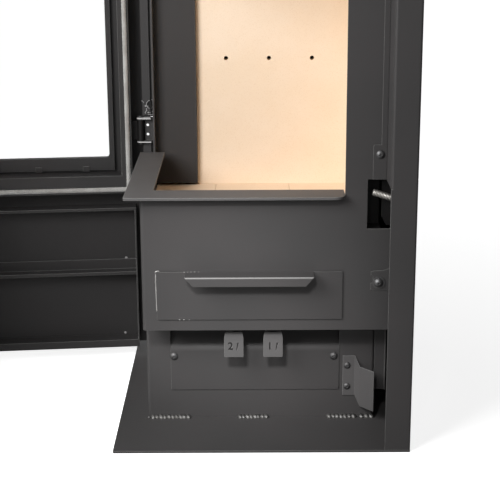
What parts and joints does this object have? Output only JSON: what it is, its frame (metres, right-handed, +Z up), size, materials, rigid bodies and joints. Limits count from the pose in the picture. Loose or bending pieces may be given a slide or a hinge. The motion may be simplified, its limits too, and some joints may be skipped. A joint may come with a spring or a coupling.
{
  "type": "heat storage wood stove",
  "caption": "Tall steel wood stove with a full-height corner door standing open, lined firebox, ash drawer, air levers and a storage chamber under the flue collar.",
  "frame": {"origin": "middle of the underside of the base plate, on the floor", "axes": "+Z up, +X to the right seen from the front, -Y towards the front of the stove"},
  "size_m": [0.9667, 0.5944, 1.343],
  "materials": {
    "black_steel": "matt stove paint",
    "dark_steel": "matt, heat darkened",
    "bright_steel": "bare, slightly rough",
    "handle_steel": "brushed",
    "grate_iron": "cast",
    "lining": "pressed vermiculite, matt",
    "storage_stone": "rough",
    "sealing_rope": "braided glass fibre",
    "gasket": "matt ceramic fibre tape",
    "door_glass": "clear glass ceramic"
  },
  "bodies": {
    "stove_body": {"base_plate": "black_steel", "pedestal": "black_steel", "pedestal_welds": "bright_steel", "air_box_cover": "black_steel", "air_cover_screws": "bright_steel", "guide_bracket": "black_steel", "guide_screws": "bright_steel", "gap_plate": "black_steel", "body_shell": "black_steel", "body_inner_walls": "dark_steel", "body_floor_plate": "dark_steel", "body_top_plate": "dark_steel", "hearth_sill": "black_steel", "firebox_floor_plate": "dark_steel", "floor_bricks": "lining", "grate": "grate_iron", "back_lining": "lining", "right_lining": "lining", "front_lining": "lining", "baffle_bricks": "lining", "baffle_plate": "dark_steel", "riser_duct": "dark_steel", "air_channel": "dark_steel", "air_valve_box": "dark_steel", "lever_guides": "dark_steel", "latch_cover": "black_steel", "latch_stop": "black_steel", "latch_screws": "bright_steel", "latch_rod": "bright_steel", "latch_pocket": "dark_steel", "rear_strip": "black_steel", "hinge_brackets": "black_steel", "hinge_pins": "bright_steel", "right_casing": "black_steel", "back_casing": "black_steel", "upper_casing": "black_steel", "top_cover": "black_steel", "heat_storage_blocks": "storage_stone", "flue_pipe": "dark_steel", "flue_collar": "black_steel", "drawer_runners": "dark_steel"},
    "door": {"door_front_skin": "black_steel", "door_side_skin": "black_steel", "seal_frame": "black_steel", "door_rope": "sealing_rope", "front_glass": "door_glass", "side_glass": "door_glass", "glass_gaskets": "gasket", "glass_retainers": "dark_steel", "glass_clips": "dark_steel", "door_lower_frame": "black_steel", "door_cross_bar": "black_steel", "hinge_knuckles": "dark_steel"},
    "door_handle": {"latch_hook": "bright_steel", "handle_grip": "handle_steel"},
    "ash_drawer": {"drawer_front": "black_steel", "drawer_tray": "dark_steel", "drawer_handle": "black_steel"},
    "primary_air": {"primary_air_lever": "black_steel"},
    "secondary_air": {"secondary_air_lever": "black_steel"}
  },
  "joints": [
    {"name": "door_hinge", "type": "hinge", "parent": "stove_body", "child": "door", "pos_m": [-0.227, 0.187, 0], "axis": [0, 0, -1], "range_deg": [-84.5, 15.5]},
    {"name": "ash_drawer_slide", "type": "slide", "parent": "stove_body", "child": "ash_drawer", "axis": [0, -1, 0], "range_m": [0, 0.25]},
    {"name": "primary_air_slide", "type": "slide", "parent": "stove_body", "child": "primary_air", "axis": [0, -1, 0], "range_m": [0, 0.035]},
    {"name": "secondary_air_slide", "type": "slide", "parent": "stove_body", "child": "secondary_air", "axis": [0, -1, 0], "range_m": [0, 0.035]},
    {"name": "handle_turn", "type": "hinge", "parent": "door", "child": "door_handle", "pos_m": [-0.62528, -0.27781, 0.4115], "axis": [-0.0958, 0.9954, 0], "range_deg": [-16, 0]}
  ]
}
